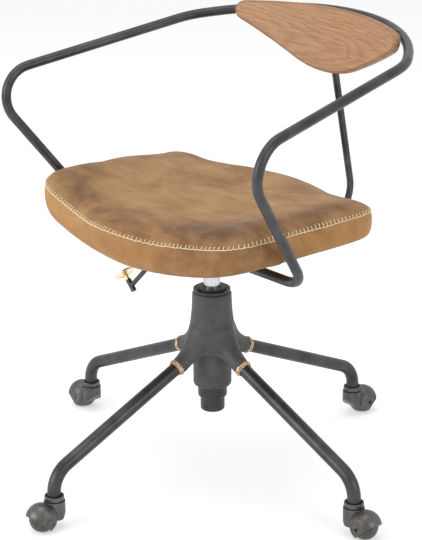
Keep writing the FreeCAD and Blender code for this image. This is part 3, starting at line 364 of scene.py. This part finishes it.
def tubes(name, runs, mat, sides=7):
    """One mesh of round threads. Each run is (points, radii, closed)."""
    verts, faces = [], []
    for points, radii, closed in runs:
        count = len(points)
        start = len(verts)
        side = None
        for i, p in enumerate(points):
            before = points[i - 1] if i or closed else p
            after = points[(i + 1) % count] if i + 1 < count or closed else p
            along = (after - before).normalized()
            if side is None:
                side = along.orthogonal().normalized()
            side = (side - along * side.dot(along)).normalized()
            other = along.cross(side)
            for s in range(sides):
                a = 2 * math.pi * s / sides
                verts.append(p + (side * math.cos(a) + other * math.sin(a)) * radii[i])
        for i in range(count if closed else count - 1):
            j = (i + 1) % count
            for s in range(sides):
                t = (s + 1) % sides
                here, there = start + i * sides, start + j * sides
                faces.append((here + s, here + t, there + t, there + s))
        if not closed:
            faces.append(tuple(start + s for s in reversed(range(sides))))
            faces.append(tuple(start + (count - 1) * sides + s for s in range(sides)))
    return new_object(name, verts, faces, mat)


# Saddle cushion. Outlines are half curves from the front middle round the +X side to the rear middle.
SEAM_HALF = [
    (0, -217), (45, -210), (95, -196), (150, -185), (198, -177.5), (229, -166), (245, -149), (250, -125),
    (250.5, -70), (250.5, 0), (250.5, 55), (249, 92), (243, 119), (228, 138.5), (204, 150), (165, 160),
    (120, 171), (65, 188), (0, 198)]
UNDER_HALF = [
    (0, -187), (45, -187), (95, -186), (150, -182), (196, -175), (224, -162), (239, -146), (245, -122),
    (246.5, -70), (246.5, 0), (246.5, 55), (244, 90), (238, 115), (223, 133.5), (200, 144), (161, 153),
    (118, 163), (64, 178), (0, 187)]
ROUND = 300             # points along each ring
VOXEL = 0.0045
PUFF_CAP = 0.0014       # furthest that the cloth settle moves a point
STITCH_PITCH = 0.0080
STITCH_STEPS = 8        # points of the running thread between two stitches
THREAD_R = 0.00072
LAP_Y = -0.067          # the band's lapped joint, on both sides


def loop_of(half):
    other = [(-x, y) for x, y in reversed(half[1:-1])]
    return np.array(half + other, float) * MM


def spline(loop, t):
    """Closed Catmull-Rom curve through the loop's points."""
    n = len(loop)
    i = np.floor(t).astype(int)
    f = (t - i)[:, None]
    p0, p1, p2, p3 = (loop[(i + k) % n] for k in (-1, 0, 1, 2))
    return 0.5 * (2 * p1 + (p2 - p0) * f + (2 * p0 - 5 * p1 + 4 * p2 - p3) * f ** 2
                  + (3 * p1 - p0 - 3 * p2 + p3) * f ** 3)


def even_steps(loop, count):
    t = np.linspace(0, len(loop), 4001)
    p = spline(loop, t % len(loop))
    run = np.concatenate([[0], np.cumsum(np.linalg.norm(np.diff(p, axis=0), axis=1))])
    return np.interp(np.linspace(0, run[-1], count, endpoint=False), run, t), run[-1]


def sagged(x, y):
    """How far a point is into the sitter's right rear corner, which lies lower in the photograph."""
    return smoothstep(-0.03, 0.10, y) * smoothstep(0.07, 0.20, -x)


def seam_z(x, y):
    rise = np.clip((np.abs(x) - 0.095) / 0.150, 0, 1.1) ** 1.3
    front = 0.004 * np.exp(-(x / 0.045) ** 2) * (y < 0)
    return 0.463 + 0.021 * rise + front - 0.005 * sagged(x, y)


def under_z(x):
    return 0.402 + 0.029 * (np.abs(x) / 0.210) ** 1.6


def top_z(x, y):
    fuller = 0.005 * smoothstep(0.10, 0.21, np.abs(x)) * smoothstep(0.02, 0.11, -y)
    return (0.486 + 0.0165 * (np.abs(x) / 0.232) ** 2.1 - 0.005 * (y / 0.2) ** 2
            + fuller - 0.011 * sagged(x, y))


def board_under_z(x):
    return 0.4155 + 1.2 - np.sqrt(1.2 ** 2 - x ** 2)


def cushion_rings():
    steps, length = even_steps(loop_of(SEAM_HALF), ROUND)
    seam = spline(loop_of(SEAM_HALF), steps)
    under = spline(loop_of(UNDER_HALF), steps)
    ahead = np.roll(seam, -1, 0) - np.roll(seam, 1, 0)
    ahead /= np.linalg.norm(ahead, axis=1)[:, None]
    inward = np.stack([-ahead[:, 1], ahead[:, 0]], 1)
    zs = seam_z(seam[:, 0], seam[:, 1])
    zu = under_z(under[:, 0])

    def ring(xy, z):
        return np.column_stack([xy, z])

    centre = np.array([0, 0.012])
    away = under - centre
    scale = (np.abs(away[:, 0] / 0.180) ** 6 + np.abs(away[:, 1] / 0.118) ** 6) ** (-1 / 6)
    opening = centre + away * scale[:, None]
    rings = []
    for f in (0.12, 0.4, 0.7, 0.97):
        xy = centre + (opening - centre) * f
        rings.append(ring(xy, board_under_z(xy[:, 0]) + 0.004))
    rings.append(ring(opening, under_z(opening[:, 0]) + 0.003))
    for f in (0.05, 0.4, 0.75):
        xy = opening + (under - opening) * f
        rings.append(ring(xy, under_z(xy[:, 0])))
    for d, h in ((0.009, 0.0003), (0.004, 0.0018), (0.0012, 0.0052)):
        rings.append(ring(under + inward * d, zu + h))
    for v in (0.14, 0.3, 0.45, 0.6, 0.75, 0.9):
        swell = 0.0045 * math.sin(math.pi * v)
        xy = under + (seam - under) * v - inward * swell
        rings.append(ring(xy, zu + (zs - zu) * v))
    seam_ring = ring(seam - inward * 0.0004, zs)
    rings.append(seam_ring)
    reach = 0.060
    for d in (0.002, 0.005, 0.009, 0.014, 0.020, 0.028, 0.038, 0.050):
        xy = seam + inward * d
        share = (1 - (1 - d / reach) ** 2.3) ** 0.62
        rings.append(ring(xy, zs + (top_z(xy[:, 0], xy[:, 1]) - zs) * share))
    inner = seam + inward * reach
    middle = np.array([0, -0.005])
    for f in (1.0, 0.85, 0.7, 0.55, 0.4, 0.25, 0.1):
        xy = middle + (inner - middle) * f
        rings.append(ring(xy, top_z(xy[:, 0], xy[:, 1])))
    return rings, seam_ring, length


def ring_mesh(rings):
    verts = np.concatenate(rings)
    n = len(rings[0])
    faces = []
    for i in range(len(rings) - 1):
        for j in range(n):
            k = (j + 1) % n
            faces.append((i * n + j, i * n + k, (i + 1) * n + k, (i + 1) * n + j))
    faces.append(tuple(range(n))[::-1])
    faces.append(tuple(range((len(rings) - 1) * n, len(rings) * n)))
    return verts, faces


def apply_modifiers(obj):
    graph = bpy.context.evaluated_depsgraph_get()
    mesh = bpy.data.meshes.new_from_object(obj.evaluated_get(graph))
    obj.modifiers.clear()
    old = obj.data
    obj.data = mesh
    bpy.data.meshes.remove(old)


def points_of(obj):
    co = np.empty(len(obj.data.vertices) * 3, np.float64)
    obj.data.vertices.foreach_get("co", co)
    return co.reshape(-1, 3)


def put_points(obj, co):
    obj.data.vertices.foreach_set("co", co.astype(np.float32).ravel())
    obj.data.update()


def puff(obj, cap):
    """Cloth under inside pressure: a short settle whose moves are capped."""
    before = points_of(obj)
    group = obj.vertex_groups.new(name="held")
    hold = np.clip(1 - smoothstep(0.004, 0.030, before[:, 2] - under_z(before[:, 0])), 0, 1)
    for i, w in enumerate(hold):
        if w > 0.01:
            group.add([i], float(w), "REPLACE")
    cloth = obj.modifiers.new("cloth", "CLOTH")
    cs = cloth.settings
    cs.quality = 5
    cs.mass = 0.4
    cs.tension_stiffness = cs.compression_stiffness = 12
    cs.shear_stiffness = 6
    cs.bending_stiffness = 12
    cs.use_pressure = True
    cs.uniform_pressure_force = 4
    cs.vertex_group_mass = "held"
    cs.effector_weights.gravity = 0
    cloth.collision_settings.use_collision = False
    cloth.point_cache.frame_start, cloth.point_cache.frame_end = 1, 20
    for f in range(1, 21):
        scene.frame_set(f)
    apply_modifiers(obj)
    obj.vertex_groups.clear()
    scene.frame_set(1)
    move = points_of(obj) - before
    size = np.linalg.norm(move, axis=1)
    move *= (cap * np.tanh(size / cap) / np.maximum(size, 1e-9))[:, None]
    put_points(obj, before + move)


def make_cushion(skin, cream):
    rings, seam, length = cushion_rings()
    verts, faces = ring_mesh(rings)
    obj = new_object("leather_cushion", verts, faces, skin)
    remesh = obj.modifiers.new("remesh", "REMESH")
    remesh.mode = "VOXEL"
    remesh.voxel_size = VOXEL
    relax = obj.modifiers.new("relax", "SMOOTH")
    relax.iterations = 3
    relax.factor = 0.5
    apply_modifiers(obj)
    puff(obj, PUFF_CAP)
    fine = obj.modifiers.new("fine", "SUBSURF")
    fine.levels = fine.render_levels = 1
    apply_modifiers(obj)
    obj.data.polygons.foreach_set("use_smooth", [True] * len(obj.data.polygons))
    obj.data.materials.clear()
    obj.data.materials.append(skin)

    # Seam groove, puckers between stitches, and the lapped joint in the band.
    co = points_of(obj)
    tree = KDTree(len(seam))
    for i, p in enumerate(seam):
        tree.insert(p, i)
    tree.balance()
    normals = np.empty(len(co) * 3, np.float32)
    obj.data.vertex_normals.foreach_get("vector", normals)
    normals = normals.reshape(-1, 3)
    band = np.zeros(len(co))
    burn = np.zeros(len(co))
    shift = np.zeros(len(co))
    pitch = length / round(length / STITCH_PITCH)
    for i, p in enumerate(co):
        _, j, _ = tree.find(p)
        a, b = seam[j], seam[(j + 1) % len(seam)]
        before = seam[j - 1]
        along = b - before
        step = np.linalg.norm(along)
        along = along / step
        rel = p - a
        run = j * length / len(seam) + rel @ along
        off = rel - along * (rel @ along)
        d = float(np.linalg.norm(off))
        up = 1.0 if off[2] > 0 else -1.0
        side = d * up
        x, y, z = co[i]
        over = smoothstep(-0.0012, 0.0012, side) if d < 0.02 else (1.0 if z > seam_z(x, y) else 0.0)
        band[i] = 1 - over
        if d < 0.02:
            shift[i] -= 0.0011 * math.exp(-((side + 0.0008) / 0.0016) ** 2)
            shift[i] += 0.0009 * math.exp(-((side - 0.0035) / 0.0028) ** 2)
            dent = 0.5 + 0.5 * math.cos(2 * math.pi * run / pitch)
            shift[i] -= 0.0007 * dent * math.exp(-((side - 0.0035) / 0.0036) ** 2)
        if z > seam_z(x, y):
            ring = math.exp(-((d - 0.040) / 0.028) ** 2)
            corner = math.exp(-(((x - 0.195) / 0.10) ** 2 + ((y + 0.13) / 0.085) ** 2))
            other = math.exp(-(((x + 0.185) / 0.09) ** 2 + ((y + 0.14) / 0.08) ** 2))
            flank = math.exp(-(((x - 0.225) / 0.05) ** 2 + ((y - 0.06) / 0.10) ** 2))
            burn[i] = min(1.0, ring * (0.28 + 0.75 * corner + 0.6 * other + 0.5 * flank) + 0.25 * corner)
        else:
            front = smoothstep(0.02, 0.17, x) * (1 - smoothstep(LAP_Y - 0.005, LAP_Y + 0.003, y))
            burn[i] = 0.7 * front
        for sx in (1, -1):
            if x * sx > 0.2 and z < seam_z(x, y) + 0.002 and abs(y - LAP_Y) < 0.03:
                s = y - LAP_Y + 0.003 * math.sin((z - 0.44) * 90)
                shift[i] += 0.0013 * (smoothstep(-0.022, -0.0012, s) - smoothstep(-0.0012, 0.0012, s))
                shift[i] -= 0.0009 * math.exp(-((s - 0.0012) / 0.0016) ** 2)
    put_points(obj, co + normals * shift[:, None])
    for name, values in (("band", band), ("burn", burn)):
        layer = obj.data.attributes.new(name, "FLOAT", "POINT")
        layer.data.foreach_set("value", values.astype(np.float32))
    surface = BVHTree.FromObject(obj, bpy.context.evaluated_depsgraph_get())
    stitches = make_stitches(surface, seam, length, pitch, cream)
    return obj, stitches


def make_stitches(surface, seam, length, pitch, cream):
    count = round(length / pitch)
    steps = np.arange(0, count * STITCH_STEPS) / STITCH_STEPS * pitch
    marks = np.arange(len(seam) + 1) / len(seam) * length
    closed = np.vstack([seam, seam[:1]])
    line = np.column_stack([np.interp(steps, marks, closed[:, k]) for k in range(3)])

    def seat_on(p, lift):
        hit, normal, _, _ = surface.find_nearest(Vector(p))
        return hit + normal * lift, normal

    points = []
    for i, p in enumerate(line):
        hit, normal = seat_on(p, 0.0)
        points.append((hit, normal))
    runs = []
    running = []
    for i, (hit, normal) in enumerate(points):
        near = [points[(i + k) % len(points)] for k in range(-STITCH_STEPS, STITCH_STEPS + 1)]
        along = (near[-1][0] - near[0][0]).normalized()
        up = sum((n for _, n in near), Vector()).normalized().cross(along)
        if up.z < 0:
            up = -up
        phase = (i % STITCH_STEPS) / STITCH_STEPS
        wobble = 0.0004 * math.sin(i * 0.37) * math.sin(i * 0.113)
        sag = -0.0007 * math.sin(math.pi * phase) + wobble
        p, _ = seat_on(hit + up * (sag - 0.0004), 0.00042)
        running.append(p)
        if i % STITCH_STEPS == 0:
            seed = math.sin(i * 12.9898) * 43758.5453
            jitter = (seed - math.floor(seed)) - 0.5
            reach = 0.0078 + 0.0007 * jitter
            tilt = along * (0.0005 * jitter + 0.0006)
            pts, radii = [], []
            for q in range(7):
                t = q / 6
                lift = 0.00062 * math.sin(math.pi * min(1, t * 0.9 + 0.1))
                lift += 0.0001 if t < 0.9 else -0.0004
                spot, _ = seat_on(hit + up * (reach * t - 0.0004) + tilt * t, lift)
                pts.append(spot)
                radii.append(THREAD_R * (0.85 if q in (0, 6) else 1.0))
            runs.append((pts, radii, False))
    runs.append((running, [THREAD_R] * len(running), True))
    return tubes("blanket_stitches", runs, cream, 6)


# Finishes for the CAD nodes
def dress(mats):
    by_slot = {
        "hub_iron": "iron", "frame_steel": "steel", "column_steel": "column", "braze": "braze",
        "black_plastic": "black", "lift_chrome": "chrome", "bright_steel": "zinc", "caster_metal": "caster",
        "caster_tread": "tread", "black_plate": "plate", "brass_part": "brass", "dark_screw": "screw",
        "oak": "oak", "plywood": "ply", "foam": "ply", "leather": "leather"}
    slot_of = {part["node"]: part["material_slot"] for part in frame["record"]["subparts"]}
    for name, obj in nodes.items():
        for place in obj.material_slots:
            place.material = mats[by_slot[slot_of[name]]]
    # The lever disc takes the paler copy of the brass, whose pale colour is a painted reflection.
    for place in nodes["lever_disc"].material_slots:
        place.material = mats["disc"]


def soften_hub(obj):
    grow = obj.modifiers.new("voxels", "REMESH")
    grow.mode = "VOXEL"
    grow.voxel_size = 0.0013
    grow.use_smooth_shade = True
    relax = obj.modifiers.new("relax", "SMOOTH")
    relax.iterations = 14
    relax.factor = 0.6
    texture = bpy.data.textures.new("cast_lumps", "CLOUDS")
    texture.noise_scale = 0.004
    lumps = obj.modifiers.new("lumps", "DISPLACE")
    lumps.texture = texture
    lumps.strength = 0.0004
    lumps.mid_level = 0.5


def roughen_beads(obj):
    grow = obj.modifiers.new("voxels", "REMESH")
    grow.mode = "VOXEL"
    grow.voxel_size = 0.0005
    grow.use_smooth_shade = True
    texture = bpy.data.textures.new("bead_lumps", "CLOUDS")
    texture.noise_scale = 0.0028
    texture.noise_depth = 3
    lumps = obj.modifiers.new("lumps", "DISPLACE")
    lumps.texture = texture
    lumps.strength = 0.0022
    lumps.mid_level = 0.45


# Floor, world and lamps
FLOOR_LIFT = 0.42


def shows_background(tree):
    """1 for rays that show the background: the camera's, and those seen in metal or through glass."""
    path = tree.nodes.new("ShaderNodeLightPath")
    seen = path.outputs["Is Camera Ray"]
    for kind in ("Is Glossy Ray", "Is Transmission Ray"):
        either = tree.nodes.new("ShaderNodeMath")
        either.operation = "MAXIMUM"
        tree.links.new(seen, either.inputs[0])
        tree.links.new(path.outputs[kind], either.inputs[1])
        seen = either.outputs[0]
    return seen


def make_stage():
    bpy.ops.mesh.primitive_plane_add(size=40, location=(0, 0, 0))
    floor = bpy.context.object
    floor.name = "studio_floor"
    mat = bpy.data.materials.new("floor_white")
    mat.use_nodes = True
    tree = mat.node_tree
    shader = tree.nodes["Principled BSDF"]
    shader.inputs["Base Color"].default_value = (0.93, 0.93, 0.93, 1)
    shader.inputs["Roughness"].default_value = 0.9
    shader.inputs["Specular IOR Level"].default_value = 0.0
    glow = tree.nodes.new("ShaderNodeEmission")
    glow.inputs["Strength"].default_value = FLOOR_LIFT
    lifted = tree.nodes.new("ShaderNodeAddShader")
    tree.links.new(shader.outputs[0], lifted.inputs[0])
    tree.links.new(glow.outputs[0], lifted.inputs[1])
    mix = tree.nodes.new("ShaderNodeMixShader")
    tree.links.new(shows_background(tree), mix.inputs[0])
    tree.links.new(shader.outputs[0], mix.inputs[1])
    tree.links.new(lifted.outputs[0], mix.inputs[2])
    tree.links.new(mix.outputs[0], tree.nodes["Material Output"].inputs["Surface"])
    floor.data.materials.append(mat)

    world = bpy.data.worlds.new("studio")
    world.use_nodes = True
    tree = world.node_tree
    tree.nodes.clear()
    out = tree.nodes.new("ShaderNodeOutputWorld")
    room = tree.nodes.new("ShaderNodeBackground")
    room.inputs["Color"].default_value = (1, 1, 1, 1)
    room.inputs["Strength"].default_value = 0.5
    white = tree.nodes.new("ShaderNodeBackground")
    white.inputs["Color"].default_value = (1, 1, 1, 1)
    white.inputs["Strength"].default_value = 1.0
    mix = tree.nodes.new("ShaderNodeMixShader")
    tree.links.new(shows_background(tree), mix.inputs[0])
    tree.links.new(room.outputs[0], mix.inputs[1])
    tree.links.new(white.outputs[0], mix.inputs[2])
    tree.links.new(mix.outputs[0], out.inputs["Surface"])
    scene.world = world
    scene.view_settings.view_transform = "Standard"


def make_lamp(name, at, size, watts, aim=(0, 0, 0.4), spread=180):
    data = bpy.data.lights.new(name, "AREA")
    data.shape = "RECTANGLE"
    data.size, data.size_y = size
    data.energy = watts
    data.spread = math.radians(spread)
    lamp = bpy.data.objects.new(name, data)
    scene.collection.objects.link(lamp)
    lamp.location = at
    lamp.rotation_euler = (Vector(aim) - Vector(at)).to_track_quat("-Z", "Y").to_euler()


def main():
    make_camera()
    make_stage()
    make_lamp("front", (-0.7, -3.2, 1.5), (2.6, 1.8), 50)
    make_lamp("side", (3.4, 0.3, 1.5), (1.8, 1.8), 24)
    make_lamp("above", (-0.2, -0.2, 3.2), (2.2, 2.2), 26)
    mats = {
        "iron": cast_iron(), "steel": frame_steel(),
        "column": frame_steel("column_steel", (50, 50, 52), (66, 66, 68)),
        "braze": braze(), "black": plastic("black_plastic", (22, 22, 24), (58, 58, 60), 0.42),
        "chrome": bright("lift_chrome", (150, 152, 156), (214, 216, 220), 0.16, (1, 1, 0.02)),
        "zinc": bright("zinc_steel", (168, 168, 166), (196, 196, 194), 0.34),
        "caster": gunmetal("caster_metal", (76, 75, 75), (104, 102, 101), 0.36),
        "tread": gunmetal("caster_tread", (62, 60, 58), (88, 85, 82), 0.4, 0.4),
        "plate": frame_steel("black_plate", (38, 38, 40), (52, 52, 54), 0.4, 0.42),
        "brass": bright("brass_part", (214, 184, 128), (236, 212, 160), 0.2, (1, 30, 1)),
        # Lever disc: brass like the stem, painted paler as a painted reflection of the white surroundings.
        "disc": bright("disc_brass_painted_reflection", (232, 216, 182), (246, 234, 206), 0.24, (30, 1, 1)),
        "screw": bright("dark_screw", (70, 70, 72), (96, 96, 98), 0.34),
        "oak": oak(), "ply": plywood(), "leather": leather(), "thread": thread()}
    dress(mats)
    soften_hub(nodes["base_hub"])
    roughen_beads(nodes["braze_beads"])
    cushion, stitches = make_cushion(mats["leather"], mats["thread"])
    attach(cushion, "seat")
    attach(stitches, "seat")
    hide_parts("seat_cover", "seat_foam")


main()
bpy.context.view_layer.update()
